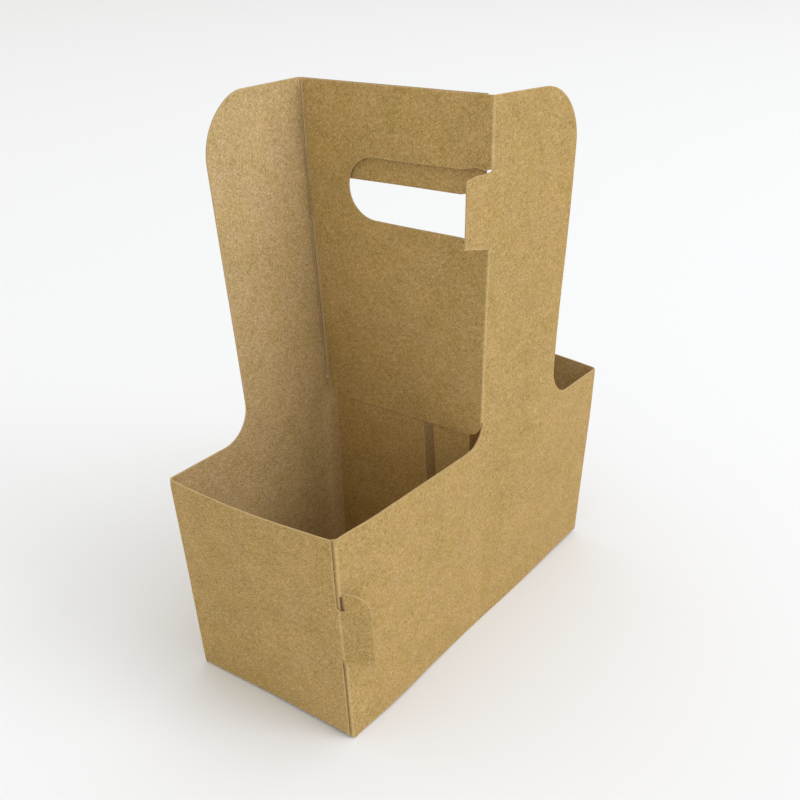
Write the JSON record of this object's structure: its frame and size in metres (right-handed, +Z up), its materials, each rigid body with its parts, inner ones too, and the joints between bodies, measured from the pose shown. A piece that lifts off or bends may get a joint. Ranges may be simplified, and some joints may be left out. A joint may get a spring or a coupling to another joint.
{
  "type": "cardboard cup carrier",
  "caption": "Folded kraft board cup carrier: an open tray with a lower divider, tall wings rising from its long sides and a doubled handle web with a hand hole.",
  "frame": {"origin": "middle of the tray's foot, on the surface it stands on", "axes": "+Z up, Y along the tray from the front cup place (-Y) to the rear one (+Y), X across it, with the near long side at +X"},
  "size_m": [0.1082, 0.196, 0.229],
  "materials": {
    "kraft_board": "matte uncoated kraft board"
  },
  "bodies": {
    "root": {"carrier": "kraft_board"}
  },
  "joints": []
}
